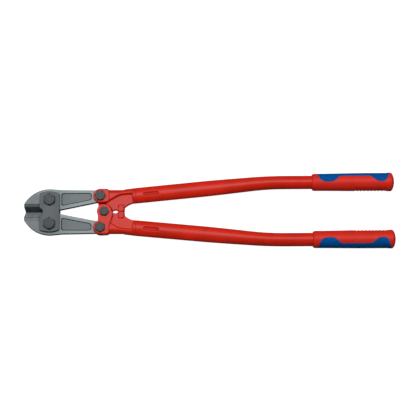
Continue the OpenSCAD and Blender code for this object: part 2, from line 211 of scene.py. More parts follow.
def prism(name, outline, start, end, axis="Z", stations=()):
    """A solid with an outline across Z, or across X, extruded from start to end through any stations"""
    if axis == "Z":
        points = [(x, y, start) for x, y in outline]
        direction = Vector((0, 0, 1))
    else:
        points = [(start, y, z) for y, z in outline]
        direction = Vector((1, 0, 0))
    piece = draw(name, points)
    levels = [start, *stations, end]
    for here, after in zip(levels, levels[1:]):
        bpy.ops.mesh.extrude_region_move(TRANSFORM_OT_translate={"value": direction * (after - here)})
    bpy.ops.mesh.select_all(action="SELECT")
    bpy.ops.mesh.normals_make_consistent(inside=False)
    close()
    return piece


def through(outline):
    """A tool that cuts an outline through everything across Z"""
    return prism("hole", outline, -FAR, FAR)


def turned(name, profile, centre, steps, axis="Z"):
    """A body of revolution about a line through centre. Its profile is radius and place along the line"""
    if axis == "Z":
        points = [(centre[0] + r, centre[1], z) for r, z in profile]
        direction = (0, 0, 1)
    else:
        points = [(x, centre[1] + r, centre[2]) for r, x in profile]
        direction = (1, 0, 0)
    piece = draw(name, points, fill=False)
    bpy.ops.mesh.spin(steps=steps, angle=2 * math.pi, center=centre, axis=direction)
    bpy.ops.mesh.select_all(action="SELECT")
    bpy.ops.mesh.remove_doubles(threshold=0.001)
    bpy.ops.mesh.delete_loose(use_verts=True, use_edges=True, use_faces=False)
    bpy.ops.mesh.select_all(action="SELECT")
    bpy.ops.mesh.normals_make_consistent(inside=False)
    close()
    return piece


def heading(degrees):
    """Cosine and sine of an angle"""
    angle = math.radians(degrees)
    return math.cos(angle), math.sin(angle)


def arc(x, y, radius, start, end, steps):
    """Points on a circle from one angle to another, in degrees"""
    angles = [math.radians(start + (end - start) * i / steps) for i in range(steps + 1)]
    return [(x + radius * math.cos(a), y + radius * math.sin(a)) for a in angles]


def oval(half_x, half_y, steps, x=0.0, y=0.0):
    angles = [2 * math.pi * i / steps for i in range(steps)]
    return [(x + half_x * math.cos(a), y + half_y * math.sin(a)) for a in angles]


def rounded(corners, radius=0.0, steps=5):
    """The outline through the corners. A corner's third value, or else radius, rounds it"""
    outline = []
    count = len(corners)
    for i, corner in enumerate(corners):
        here = Vector(corner[:2])
        r = corner[2] if len(corner) > 2 else radius
        if r <= 0:
            outline.append(tuple(here))
            continue
        before = Vector(corners[i - 1][:2]) - here
        after = Vector(corners[(i + 1) % count][:2]) - here
        half = before.angle(after) / 2
        reach = min(r / math.tan(half), before.length * 0.48, after.length * 0.48)
        a, b = before.normalized() * reach, after.normalized() * reach
        for k in range(steps + 1):
            t = k / steps
            outline.append(tuple(here + a * (1 - t) ** 2 + b * t * t))
    return outline


def apply_modifier(piece, kind, **settings):
    pick(piece)
    modifier = piece.modifiers.new(kind.title(), kind)
    for name, value in settings.items():
        setattr(modifier, name, value)
    bpy.ops.object.modifier_apply(modifier=modifier.name)


def combine(piece, tool, operation):
    """Joins, cuts or crosses the piece with a tool, which is used up and leaves its materials"""
    apply_modifier(
        piece, "BOOLEAN", object=tool, operation=operation, solver="EXACT", material_mode="TRANSFER"
    )
    bpy.data.objects.remove(tool)
    return piece


def cut(piece, tool):
    return combine(piece, tool, "DIFFERENCE")


def add(piece, tool):
    return combine(piece, tool, "UNION")


def weld(piece):
    """Merges corners that lie on each other, and removes the slivers between them"""
    edit(piece)
    bpy.ops.mesh.remove_doubles(threshold=0.01)
    bpy.ops.mesh.dissolve_degenerate(threshold=0.005)
    close()


def soften(piece, width, segments=3, angle=32):
    """Rounds every edge sharper than the angle"""
    apply_modifier(
        piece, "BEVEL", width=width, segments=segments, limit_method="ANGLE", angle_limit=math.radians(angle)
    )
    weld(piece)


def smooth_shading(piece, angle=32):
    pick(piece)
    bpy.ops.object.shade_smooth_by_angle(angle=math.radians(angle))


def corners_of(piece):
    """The piece's corner coordinates as rows of an array"""
    co = np.empty(len(piece.data.vertices) * 3)
    piece.data.vertices.foreach_get("co", co)
    return co.reshape(-1, 3)


def move_corners(piece, co):
    piece.data.vertices.foreach_set("co", np.ascontiguousarray(co).ravel())
    piece.data.update()


def face_values(piece):
    """Middles and normals of the piece's faces as two arrays"""
    count = len(piece.data.polygons)
    middles, normals = np.empty(count * 3), np.empty(count * 3)
    piece.data.polygons.foreach_get("center", middles)
    piece.data.polygons.foreach_get("normal", normals)
    return middles.reshape(-1, 3), normals.reshape(-1, 3)


def copy_of(piece, name):
    twin = piece.copy()
    twin.data = piece.data.copy()
    twin.name = name
    bpy.context.scene.collection.objects.link(twin)
    return twin


def turned_over(piece, name):
    """A copy for the other handle, turned half a turn about X"""
    twin = copy_of(piece, name)
    twin.data.transform(Matrix.Rotation(math.pi, 4, "X"))
    return twin


def mirrored(piece, across):
    """The piece mirrored along the direction across"""
    piece.data.transform(Matrix.Scale(-1, 4, across))
    piece.data.flip_normals()
    return piece


def put(piece, node, slot, *materials):
    """Places a finished piece in the frame, where it stands for the node"""
    piece.name = node + "_finished"
    piece.data.name = piece.name
    piece.data.transform(Matrix.Translation((0, 0, mid_z)) @ Matrix.Scale(MM, 4))
    if materials:
        piece.data.materials.clear()
        for material in materials:
            piece.data.materials.append(material)
        piece.data.polygons.foreach_set("material_index", np.zeros(len(piece.data.polygons), np.int32))
    apply_modifier(piece, "WEIGHTED_NORMAL", mode="FACE_AREA", weight=100, keep_sharp=True)
    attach(piece, NODE_BODY[node])
    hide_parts(node)


def put_both(upper, name, slot, *materials):
    """Places a piece of the upper handle, and its copy turned over for the lower handle"""
    lower = turned_over(upper, "lower")
    put(upper, "upper_" + name, slot, *materials)
    put(lower, "lower_" + name, slot, *materials)


def two_finishes(piece, faces, sides, flat=0.5):
    """One finish for the piece's flat faces and one for its sides, which are steeper than flat allows"""
    piece.data.materials.clear()
    for material in (faces, sides):
        piece.data.materials.append(material)
    normals = face_values(piece)[1]
    piece.data.polygons.foreach_set("material_index", (np.abs(normals[:, 2]) < flat).astype(np.int32))


def smooth_step(t):
    t = np.clip(t, 0, 1)
    return t * t * (3 - 2 * t)


def sizes(name):
    """A size of the panel in millimetres"""
    return getattr(bpy.context.scene.cutter_sizes, name) / MM


def colours(name):
    return (*getattr(bpy.context.scene.cutter_colours, name), 1)


# ---------------------------------------------------------------- shader helpers


class Wire:
    """A socket that Python expressions can use: +, - and * add a Math node each"""

    def __init__(self, finish, socket):
        self.finish = finish
        self.socket = socket

    def maths(self, operation, first, second):
        return self.finish.node("ShaderNodeMath", {"operation": operation}, {0: first, 1: second})

    def __add__(self, other):
        return self.maths("ADD", self, other)

    def __sub__(self, other):
        return self.maths("SUBTRACT", self, other)

    def __mul__(self, other):
        return self.maths("MULTIPLY", self, other)

    def __rsub__(self, other):
        return self.maths("SUBTRACT", other, self)

    __radd__ = __add__
    __rmul__ = __mul__

    def between(self, low, high):
        """0 at low, 1 at high, and clamped outside"""
        settings = {"interpolation_type": "SMOOTHSTEP"}
        inputs = {"Value": self, "From Min": low, "From Max": high, "To Min": 0.0, "To Max": 1.0}
        return self.finish.node("ShaderNodeMapRange", settings, inputs)


class Finish:
    """A material under construction, with a Principled shader at its end"""

    def __init__(self, name):
        self.material = bpy.data.materials.new(name)
        self.material.use_nodes = True
        self.tree = self.material.node_tree
        self.tree.nodes.clear()
        self.shader = self.tree.nodes.new("ShaderNodeBsdfPrincipled")
        output = self.tree.nodes.new("ShaderNodeOutputMaterial")
        self.tree.links.new(self.shader.outputs[0], output.inputs["Surface"])
        self.place = self.node("ShaderNodeTexCoord", output="Object")

    def feed(self, socket, value):
        if isinstance(value, Wire):
            self.tree.links.new(value.socket, socket)
        else:
            socket.default_value = value

    def node(self, kind, settings=None, inputs=None, output=0):
        """Adds a node: its settings are set first, and then the values or links of its sockets"""
        made = self.tree.nodes.new(kind)
        for name, value in (settings or {}).items():
            setattr(made, name, value)
        for name, value in (inputs or {}).items():
            self.feed(made.inputs[name], value)
        return Wire(self, made.outputs[output])

    def surface(self, **values):
        """Sets the shader's sockets, with _ for each space of a socket's name"""
        for name, value in values.items():
            self.feed(self.shader.inputs[name.replace("_", " ")], value)
        return self.material

    def noise(self, size, detail=2.0, roughness=0.5, stretch=None):
        """Cloudy noise with features of a size in metres, drawn out along an axis where stretch says so"""
        at = self.place
        if stretch:
            at = self.node("ShaderNodeMapping", inputs={"Vector": at, "Scale": stretch})
        inputs = {"Vector": at, "Scale": 1 / size, "Detail": detail, "Roughness": roughness}
        return self.node("ShaderNodeTexNoise", inputs=inputs)

    def blend(self, amount, first, second):
        """From the first colour to the second"""
        inputs = {0: amount, 6: first, 7: second}
        return self.node("ShaderNodeMix", {"data_type": "RGBA"}, inputs, output=2)

    def along(self):
        """Place along the tool, in metres"""
        return self.node("ShaderNodeSeparateXYZ", inputs={"Vector": self.place})

    def edges(self, low, high):
        """1 on sharp outer edges and 0 on flat faces"""
        return self.node("ShaderNodeNewGeometry", output="Pointiness").between(low, high)

    def bump(self, height, distance, strength):
        inputs = {"Height": height, "Distance": distance, "Strength": strength}
        return self.node("ShaderNodeBump", inputs=inputs)


def shade(tint, amount):
    """A lighter or darker tint"""
    return (*(min(1.0, part * amount) for part in tint[:3]), 1)


def red_paint(name, tint, gleam):
    """Powder coat: fine orange peel, a painted highlight along its sharp edges, a little darker where dust
    has stuck
    """
    finish = Finish(name)
    cloud = finish.noise(0.03, 3)
    peel = finish.noise(0.0016, 2)
    grain = finish.noise(0.0004, 1)
    base = finish.blend(cloud.between(0.3, 0.75), shade(tint, 0.9), shade(tint, 1.08))
    # Painted highlight: the red is lightened along sharp edges
    base = finish.blend(finish.edges(0.53, 0.62) * 0.35, base, shade(tint, 1.5))
    rough = 0.31 + cloud * 0.08 + grain * 0.06
    relief = peel * 0.8 + grain * 0.2
    return finish.surface(
        Base_Color=base,
        Roughness=rough,
        Normal=finish.bump(relief, 0.00012, 0.45),
        Specular_IOR_Level=gleam,
    )


def red_pad():
    """Smooth dipped coating of the stop pads"""
    finish = Finish("red_pad_coating")
    tint = colours("pad")
    cloud = finish.noise(0.006, 2)
    rub = finish.noise(0.0007, 3, stretch=(1, 0.25, 1))
    base = finish.blend(cloud.between(0.3, 0.7), shade(tint, 0.92), shade(tint, 1.06))
    return finish.surface(
        Base_Color=base,
        Roughness=0.34 + rub * 0.14,
        Normal=finish.bump(cloud * 0.4 + rub * 0.6, 0.00005, 0.4),
        Specular_IOR_Level=0.25,
    )


def red_plastic():
    """Moulded shell with a fine spark-eroded grain"""
    finish = Finish("red_moulded_plastic")
    tint = colours("grip")
    grain = finish.noise(0.00055, 3, 0.6)
    cloud = finish.noise(0.02, 2)
    base = finish.blend(cloud.between(0.3, 0.7), shade(tint, 0.94), shade(tint, 1.05))
    base = finish.blend(grain.between(0.35, 0.75) * 0.18, base, shade(tint, 1.35))
    return finish.surface(
        Base_Color=base,
        Roughness=0.4 + grain * 0.16,
        Normal=finish.bump(grain, 0.00009, 0.5),
        Specular_IOR_Level=0.2,
    )


def blue_rubber():
    """Soft inlay: matt, pebbled, a little lighter on its high spots"""
    finish = Finish("blue_soft_inlay")
    tint = colours("inlay")
    inputs = {"Vector": finish.place, "Scale": 1 / 0.0011, "Smoothness": 0.6}
    pebble = finish.node("ShaderNodeTexVoronoi", {"feature": "SMOOTH_F1"}, inputs, output="Distance")
    cloud = finish.noise(0.018, 3)
    base = finish.blend(cloud.between(0.3, 0.7), shade(tint, 0.88), shade(tint, 1.12))
    base = finish.blend((1 - pebble).between(0.55, 1.0) * 0.12, base, shade(tint, 1.8))
    return finish.surface(
        Base_Color=base,
        Roughness=0.55 + cloud * 0.12,
        Normal=finish.bump(1 - pebble, 0.00014, 0.4),
        Specular_IOR_Level=0.05,
    )


# Places along the tool between which the blades' steel gets paler
TAILS_FROM = -340
TAILS_TO = -270


def steel(
    name, tint, metallic, rough, grain_size, grain_depth, painted_edge_highlight, stain=0.85, tail_light=1.0, gleam=0.5
):
    """Mottled and grainy steel, brighter in the tails by tail_light, with a painted highlight along its edges
    whose strength the argument after grain_depth gives
    """
    finish = Finish(name)
    grain = finish.noise(grain_size, 3, 0.6)
    mottle = finish.noise(0.009, 4, 0.6)
    speck = finish.noise(0.0018, 2, 0.7)
    base = finish.blend(mottle.between(0.3, 0.7), shade(tint, stain), shade(tint, 1.1))
    tails = finish.along().between(TAILS_FROM * MM, TAILS_TO * MM)
    base = finish.blend(tails * (tail_light - 1), base, shade(tint, 2))
    base = finish.blend(speck.between(0.62, 0.8) * 0.3, base, shade(tint, 0.6))
    # Painted highlight: the steel is lightened along sharp edges
    base = finish.blend(finish.edges(0.515, 0.6) * painted_edge_highlight, base, shade(tint, 2.1))
    return finish.surface(
        Base_Color=base,
        Metallic=metallic,
        Roughness=rough + mottle * 0.1 + grain * 0.1,
        Normal=finish.bump(grain * 0.7 + speck * 0.3, grain_depth, 0.5),
        Specular_IOR_Level=gleam,
    )


def blade_steel(name, tint):
    """Blasted steel, which gets paler towards the tails"""
    return steel(name, tint, 0.42, 0.38, 0.0005, 0.00009, 0.4, tail_light=1.55)


def skin_and_painted_shade(name, tint):
    """Dark steel for walls: the side walls' own dark skin, darkened much further as painted shade, and the
    recess walls painted dark as shade
    """
    return steel(name, tint, 0.2, 0.6, 0.0005, 0.00006, 0.0, gleam=0.1)


def plate_steel():
    return steel("phosphated_steel", colours("plate"), 0.35, 0.42, 0.0006, 0.00008, 0.35)


def bolt_steel():
    return steel("black_oxide_steel", colours("bolt"), 0.5, 0.34, 0.0007, 0.00005, 0.0, 0.8)


def bolt_painted_shade_steel():
    """The sides and corners of a bolt head, painted darker than its face as shade"""
    return steel("black_oxide_painted_shade_side", shade(colours("bolt"), 0.35), 0.3, 0.5, 0.0007, 0.00005, 0.0, 0.8)


def washer_steel():
    return steel("zinc_plate", colours("washer"), 0.9, 0.26, 0.0008, 0.00003, 0.3)


def ground_steel(name, tint):
    """The ground faces beside the cutting edge, with fine scratches across it"""
    finish = Finish(name)
    scratch = finish.noise(0.0009, 4, 0.7, stretch=(1, 0.06, 0.06))
    mottle = finish.noise(0.008, 3)
    base = finish.blend(mottle.between(0.3, 0.7), shade(tint, 0.95), shade(tint, 1.2))
    base = finish.blend(scratch.between(0.5, 0.7) * 0.3, base, shade(tint, 1.6))
    return finish.surface(
        Base_Color=base,
        Metallic=0.7,
        Roughness=0.26 + scratch * 0.2,
        Normal=finish.bump(scratch, 0.00004, 0.5),
    )


# ---------------------------------------------------------------- link plates

PLATE_END_R = 48
THROAT_R = 6.5
PLATE_CORNER_R = 2.2


def link_plate():
    """The front plate, with arcs at its ends and a half-round throat in its front edge"""
    half_len = (PLATE_HIGH.x - PLATE_LOW.x) / 2
    half_wide = PLATE_HIGH.y
    arc_y = half_wide - PLATE_END_R
    corner = math.degrees(math.asin((half_len - PLATE_CORNER_R * 0.4) / PLATE_END_R))
    corner_y = arc_y + math.sqrt(PLATE_END_R**2 - half_len**2) - PLATE_CORNER_R * 0.8
    outline = (
        [(PLATE_HIGH.x, corner_y)]
        + arc(HEAD.x, arc_y, PLATE_END_R, 90 - corner, 90 + corner, 24)
        + [(PLATE_LOW.x, corner_y)]
        + arc(PLATE_LOW.x, 0, THROAT_R, 90, -90, 20)
        + [(PLATE_LOW.x, -corner_y)]
        + arc(HEAD.x, -arc_y, PLATE_END_R, 270 - corner, 270 + corner, 24)
        + [(PLATE_HIGH.x, -corner_y)]
    )
    plate = prism("plate", outline, PLATE_LOW.z, PLATE_HIGH.z)
    soften(plate, sizes("steel_edge") * 1.4)
    for side in (-1, 1):
        cut(plate, through(oval(HEAD_BOLT_R, HEAD_BOLT_R, 48, HEAD.x, side * HEAD.y)))
    smooth_shading(plate)
    return plate


# ---------------------------------------------------------------- blades

NOSE_NOTCH = 3.1
# Corners that round the nose: how far they stand back, and their distance from the middle line
NOSE_CORNERS = [(0.35, 17), (0, 15.2), (0.2, 9.5)]
JAW_FROM = 84
JAW_STOPS_SHORT = 2
JAW_R = 60.5
JAW_HALF = 47.5
TAIL_R = 11.5
BEVEL_W = 16.3
BEVEL_STEEP_W = 10.6
BEVEL_SHALLOW_D = 0.9
BEVEL_LEN = 38.5
EDGE_HALF_T = 0.6
GROOVE_W = 1.1
GROOVE_D = 0.6
PANEL_RIM = 6.9
PANEL_FROM_PLATE = 3.5
PANEL_FROM_EAR = 24
PANEL_END_MORE = 1.5
PANEL_END_LIFT = 0.2
PANEL_WALL_SLOPE = 1.25
# Smallest upright part of a face's normal for a bevel's land, and for a panel's floor
LAND_FLAT = 0.96
FLOOR_FLAT = 0.95
SHOULDER_X = HEAD.x + 23.5
SHOULDER_Y = JAW_HALF - 2
JAW_Y = JAW_HALF - JAW_R
TAIL_REACH = math.hypot(EAR.x - HEAD.x, EAR.y - HALF_GAP)
TAIL_SLOPE = math.degrees(
    math.atan2(EAR.y - HALF_GAP, EAR.x - HEAD.x) - math.asin(TAIL_R / TAIL_REACH)
)
HEAD_BOLT_R = 7.05
EAR_BOLT_R = 6.05
SLOT_R = 7.5
SLOT_RISE = 0.1
SLOT_DROP = 4.4


def blade_outline():
    nose_angle = 180 - math.degrees(math.acos((HEAD.x - NOSE_X) / JAW_R))
    return (
        [(NOSE_X + NOSE_NOTCH, HALF_GAP), (HEAD.x, HALF_GAP)]
        + arc(EAR.x, EAR.y, TAIL_R, TAIL_SLOPE - 90, 90, 30)
        + [(SHOULDER_X, SHOULDER_Y)]
        + arc(HEAD.x, JAW_Y, JAW_R, JAW_FROM, nose_angle - JAW_STOPS_SHORT, 32)
        + [(NOSE_X + back, y) for back, y in NOSE_CORNERS]
    )


def panel_outline(shrink):
    """The tail's outline moved in by its rim, and by shrink more"""
    left = PLATE_HIGH.x + PANEL_FROM_PLATE + shrink
    end_r = TAIL_R - PANEL_RIM + PANEL_END_MORE
    slope = math.tan(math.radians(TAIL_SLOPE))
    rim = (PANEL_RIM + shrink) / math.cos(math.radians(TAIL_SLOPE)) + HALF_GAP
    low = (left - HEAD.x) * slope + rim
    tip_x = EAR.x - PANEL_FROM_EAR + end_r - shrink
    return rounded(
        [
            (left, low, 4),
            (tip_x, (tip_x - HEAD.x) * slope + rim, 6),
            (tip_x, EAR.y + PANEL_END_LIFT + end_r - shrink, 7),
            (left, SHOULDER_Y - PANEL_RIM - shrink, 4),
        ]
    )


def panel_tool(floor, recess_painted_shade):
    """A recessed panel whose sloping walls are painted dark as shade"""
    depth = sizes("panel_depth")
    above = 1.0
    floor_line = panel_outline(depth * PANEL_WALL_SLOPE)
    tool = prism("panel", floor_line, BLADE_Z - depth, BLADE_Z + above)
    floor_line = np.array(floor_line)
    top_line = np.array(panel_outline(-above * PANEL_WALL_SLOPE))
    co = corners_of(tool)
    top = np.nonzero(co[:, 2] > BLADE_Z)[0]
    for i in top:
        nearest = np.argmin(np.hypot(*(floor_line - co[i, :2]).T))
        co[i, :2] = top_line[nearest]
    move_corners(tool, co)
    two_finishes(tool, floor, recess_painted_shade, FLOOR_FLAT)
    return tool


def bevel_tool(land, bevel):
    """What is ground away beside the cutting edge: a steep bevel, and then a flatter land"""
    section = [
        (-1, EDGE_HALF_T),
        (HALF_GAP, EDGE_HALF_T),
        (BEVEL_STEEP_W, BLADE_Z - BEVEL_SHALLOW_D),
        (BEVEL_W, BLADE_Z),
        (BEVEL_W, FAR),
        (-1, FAR),
    ]
    tool = prism("bevel", section, NOSE_X - 1, NOSE_X + BEVEL_LEN, "X")
    two_finishes(tool, land, bevel, LAND_FLAT)
    return tool


def groove_tool(recess_painted_shade):
    """The fine line where the grinding stops, painted dark as shade in its groove"""
    half = GROOVE_W / 2
    section = [
        (BEVEL_W - half, BLADE_Z + 1),
        (BEVEL_W - half, BLADE_Z - GROOVE_D / 2),
        (BEVEL_W, BLADE_Z - GROOVE_D),
        (BEVEL_W + half, BLADE_Z - GROOVE_D / 2),
        (BEVEL_W + half, BLADE_Z + 1),
    ]
    tool = prism("groove", section, NOSE_X - 1, NOSE_X + BEVEL_LEN, "X")
    tool.data.materials.append(recess_painted_shade)
    return tool


def blade(bolt_hole, blasted, floor, skin, recess_painted_shade, land, bevel):
    """One blade with a ground bevel at the jaw and recessed panels in the tail, on both faces"""
    piece = prism("blade", blade_outline(), -BLADE_Z, BLADE_Z)
    # The sides take the dark finish: the steel's skin, darkened further as painted shade
    two_finishes(piece, blasted, skin)
    cut(piece, bevel_tool(land, bevel))
    cut(piece, mirrored(bevel_tool(land, bevel), REARWARDS))
    soften(piece, sizes("steel_edge"))
    for tool in (groove_tool(recess_painted_shade), panel_tool(floor, recess_painted_shade)):
        twin = mirrored(copy_of(tool, "rear"), REARWARDS)
        cut(piece, tool)
        cut(piece, twin)
    cut(piece, bolt_hole)
    cut(piece, through(oval(EAR_BOLT_R, EAR_BOLT_R, 48, EAR.x, EAR.y)))
    smooth_shading(piece)
    return piece


# ---------------------------------------------------------------- bolts, washers and nuts

# Each bolt, and how far its head is turned in degrees
BOLTS = {
    "upper_head_bolt": 30,
    "lower_head_bolt": 30,
    "upper_ear_bolt": 0,
    "lower_ear_bolt": 30,
    "centre_bolt": -9,
}
SHANK_R = {"head": 7, "ear": 6, "centre": 5.5}
FLATS = {"head": 22, "ear": 19, "centre": 17}
CHAMFER_SLOPE = 0.58
CHAMFER_IN = 0.3
CORNER_CLEARANCE = 0.6
# Smallest upright part of a face's normal for the face of a bolt head
HEAD_FLAT = 0.93
MARK_SIZE = 0.31
MARK_DEPTH = 0.25
HOLE_ROOM = 0.05
HEAD_UNDER = {"head": PLATE_HIGH.z, "ear": CHEEK_Z, "centre": CHEEK_Z}


def kind_of(node):
    return next(kind for kind in FLATS if kind in node)


def hexagon(name, x, y, low, high, flats, turn, both):
    """A six-sided body whose top corners, or both ends' corners, are turned to a chamfer"""
    corner_r = flats / 2 / math.cos(math.radians(30))
    face_r = flats / 2 - CHAMFER_IN
    clear_r = corner_r + CORNER_CLEARANCE
    fall = (clear_r - face_r) * CHAMFER_SLOPE
    headings = [heading(turn + 60 * i) for i in range(6)]
    sides = [(x + corner_r * cos, y + corner_r * sin) for cos, sin in headings]
    body = prism(name, rounded(sides, sizes("bolt_edge") * 2, 4), low - 1 if both else low, high + 1)
    edge = sizes("bolt_edge")
    rim = [(face_r, high - edge * 0.3), (face_r - edge * 0.5, high), (0, high)]
    bottom = [(0, low), (face_r, low), (clear_r, low + fall)] if both else [(0, low - 1), (clear_r, low - 1)]
    profile = bottom + [(clear_r, high - edge * 0.3 - fall)] + rim
    return combine(body, turned("chamfer", profile, (x, y, 0), 96), "INTERSECT")


def bolt(node):
    """A bolt with a chamfered head, a shallow round mark on it, and its end flush in the nut"""
    low, high = node_box(node)
    middle = node_middle(node)
    kind = kind_of(node)
    under = HEAD_UNDER[kind]
    shank_r = SHANK_R[kind]
    piece = hexagon(node, middle.x, middle.y, under, high.z, FLATS[kind], BOLTS[node], both=False)
    mark_r = FLATS[kind] * MARK_SIZE
    floor_z, above_z = high.z - MARK_DEPTH, high.z + 0.1
    mark = [(0, floor_z), (mark_r, floor_z), (mark_r + 0.5, above_z), (0, above_z)]
    cut(piece, turned("mark", mark, (middle.x, middle.y, 0), 64))
    shank = [
        (0, low.z + 0.8),
        (1.4, low.z + 0.8),
        (2.2, low.z),
        (shank_r - 1.1, low.z),
        (shank_r - 0.9, low.z + 0.1),
        (shank_r, low.z + 1.1),
        (shank_r, under + 0.5),
        (0, under + 0.5),
    ]
    add(piece, turned("shank", shank, (middle.x, middle.y, 0), 64))
    smooth_shading(piece)
    return piece


def washer(low, high, hole_r):
    """A pressed washer, rounded on one side, between two levels"""
    centre = ((low.x + high.x) / 2, (low.y + high.y) / 2, 0)
    outer_r = (high.x - low.x) / 2
    round_r = 0.35
    profile = [
        (hole_r, low.z + round_r),
        (hole_r + round_r, low.z),
        (outer_r - 2 * round_r, low.z),
        (outer_r - round_r * 0.6, low.z + round_r * 0.5),
        (outer_r, low.z + round_r * 1.6),
        (outer_r, high.z - 0.1),
        (outer_r - 0.1, high.z),
        (hole_r + 0.1, high.z),
        (hole_r, high.z - 0.1),
        (hole_r, low.z + round_r),
    ]
    piece = turned("washer", profile, centre, 72)
    smooth_shading(piece, 40)
    return piece


def nut(low, high, kind):
    """A nut with chamfered corners and a countersunk bore"""
    centre = ((low.x + high.x) / 2, (low.y + high.y) / 2, 0)
    bore_r = SHANK_R[kind] + HOLE_ROOM
    piece = hexagon("nut", centre[0], centre[1], low.z, high.z, FLATS[kind], 0, both=True)
    sink = 0.9
    wide_r = bore_r + sink + 1
    bore = [
        (0, low.z - 1),
        (wide_r, low.z - 1),
        (bore_r, low.z + sink),
        (bore_r, high.z - sink),
        (wide_r, high.z + 1),
        (0, high.z + 1),
    ]
    cut(piece, turned("bore", bore, centre, 64))
    smooth_shading(piece)
    return piece


def pair(node, build):
    """Both pieces of a head node that holds one on each side, as one object"""
    low, high = node_box(node)
    half_x = (high.x - low.x) / 2
    half_y = high.y - HEAD.y
    pieces = []
    for y in (-HEAD.y, HEAD.y):
        near = Vector((HEAD.x - half_x, y - half_y, low.z))
        far = Vector((HEAD.x + half_x, y + half_y, high.z))
        pieces.append(build(near, far))
    pick(pieces[0])
    pieces[1].select_set(True)
    bpy.ops.object.join()
    return pieces[0]


# ---------------------------------------------------------------- brackets

EAR_R = 14.5
CHEEK_LEN = 18
CHEEK_TOP = 46.9
CHEEK_FOOT = 21
LUG_R = 15
ARM_HALF_T = 10
WEB_HALF_T = 5.5
TUBE_WIDE = 32.5
TUBE_FLAT = 22.2
COLLAR_LEN = 6.8
TANG_LEN = 60
SPLAY = 5.45
TUBE_START_Y = 33.7
TUBE_START_X = TUBE_X + TUBE_WIDE / 2 * math.sin(math.radians(SPLAY))
COLLAR_X = TUBE_START_X - COLLAR_LEN
CROTCH_X = -173.7
PAD_LOW, PAD_HIGH = node_box("upper_stop_pad")
OVAL_X = CENTRE.x + 22.4
OVAL_LEN = 10.9
OVAL_WIDE = 6.7
CENTRE_BOLT_R = 5.6
TANG_GAP = 2.4
FORK_Z = 6.9
# Turn of the bracket about the ear from closed to fully open, and the room left around the blade's tail
TAIL_TURN = 53.6
TAIL_ROOM = 0.6
ROOM_REACH = 60
ARM_END_X = -157.8
ARM_WALL = 3.4
ARM_RIDGE_Y = 35.8

# Inner and outer edge of the raised arm from the ear to the collar
ARM_INNER = [
    (CENTRE.x + 3.5, 18.8),
    (CENTRE.x + 13.8, 23.3),
    (CENTRE.x + 19.5, 26.5),
    (CENTRE.x + 25.5, 30.3),
    (CENTRE.x + 32.9, 33.2),
    (CROTCH_X, 34.4),
    (ARM_END_X, 35.5),
]
ARM_OUTER = [
    (EAR.x, 47.3),
    (EAR.x + 16.5, 46.9),
    (EAR.x + 20, 45.9),
    (CROTCH_X - 3.5, 45.9),
    (CROTCH_X + 1, 47.3),
    (ARM_END_X, 49),
]


def arm():
    """The raised outer part, with a sloping inner wall and a full round towards its outer edge"""
    quarter = 8
    wall = [(0.0, 0.0), (0.12, WEB_HALF_T), (0.7, ARM_HALF_T - 0.5), (1.0, ARM_HALF_T)]
    rounding = [
        (2 + math.sin(math.pi / 2 * i / quarter), ARM_HALF_T * math.cos(math.pi / 2 * i / quarter))
        for i in range(quarter + 1)
    ]
    upper = wall + rounding
    section = upper + [(u, -z) for u, z in reversed(upper[1:-1])]
    start, end = ARM_INNER[0][0], ARM_INNER[-1][0]
    steps = 44
    stations = [start + (end - start) * i / steps for i in range(1, steps)]
    piece = prism("arm", section, start, end, "X", stations)
    co = corners_of(piece)
    inner = np.interp(co[:, 0], *zip(*ARM_INNER))
    outer = np.interp(co[:, 0], *zip(*ARM_OUTER))
    top = inner + ARM_WALL
    ridge = np.maximum(top + 0.4, ARM_RIDGE_Y)
    u = co[:, 1].copy()
    y = np.where(u < 1, inner + u * (top - inner), np.where(u < 2, top + (u - 1) * (ridge - top), 0))
    co[:, 1] = np.where(u < 2, y, ridge + (u - 2) * (outer - ridge))
    move_corners(piece, co)
    return piece


def cheeks():
    """Both cheeks of the fork in one slab around the ear bolt"""
    end_x = EAR.x + CHEEK_LEN
    corners = [(*ARM_INNER[0], 3), (end_x, CHEEK_FOOT, 2), (end_x, CHEEK_TOP, 6)]
    outline = rounded(arc(EAR.x, EAR.y, EAR_R, 90, 270, 36) + corners)
    piece = prism("cheeks", outline, -CHEEK_Z, CHEEK_Z)
    soften(piece, 2.0, 4)
    return piece


def lug():
    """The half-thick strap from the ear to the centre bolt"""
    piece = prism("lug", oval(LUG_R, LUG_R, 96, CENTRE.x, 0), -CHEEK_Z, -HALF_GAP)
    strap = rounded(
        [
            (CENTRE.x - 12.9, 5, 4),
            (EAR.x - 4.7, 20, 4),
            (EAR.x, EAR.y),
            (EAR.x + 16, 38, 2),
            (CENTRE.x + 17.3, 7.2, 4),
            (CENTRE.x + 16, HALF_GAP),
            (CENTRE.x, HALF_GAP),
        ]
    )
    add(piece, prism("strap", strap, -CHEEK_Z, -HALF_GAP))
    soften(piece, 1.3)
    return piece


def web():
    """The flat part between the arm and the middle line"""
    end_x = COLLAR_X + 1
    outline = rounded(
        [
            (CENTRE.x + 4, HALF_GAP),
            (CROTCH_X, HALF_GAP, 2.5),
            (CROTCH_X, 8.8, 5),
            (CROTCH_X + 5.4, 12.6, 5),
            (CROTCH_X + 11.2, 15.7, 5),
            (end_x, 17.6),
            (end_x, 40),
            (CROTCH_X, 40),
            (CENTRE.x + 20, 34),
            (CENTRE.x + 4, 25),
        ]
    )
    piece = prism("web", outline, -WEB_HALF_T, WEB_HALF_T)
    soften(piece, 1.0)
    seat = prism("seat", oval(LUG_R + 0.5, LUG_R + 0.5, 96, CENTRE.x, 0), -HALF_GAP, FAR)
    return cut(piece, seat)


def oval_bar(start, end, half_y, half_z, edge):
    """A bar of the tube's oval section, along the straight part of the tube"""
    piece = prism("bar", oval(half_y, half_z, 64), start, end, "X")
    soften(piece, edge)
    turn = Matrix.Rotation(math.radians(SPLAY), 4, "Z")
    piece.data.transform(Matrix.Translation((TUBE_START_X, TUBE_START_Y, 0)) @ turn)
    return piece


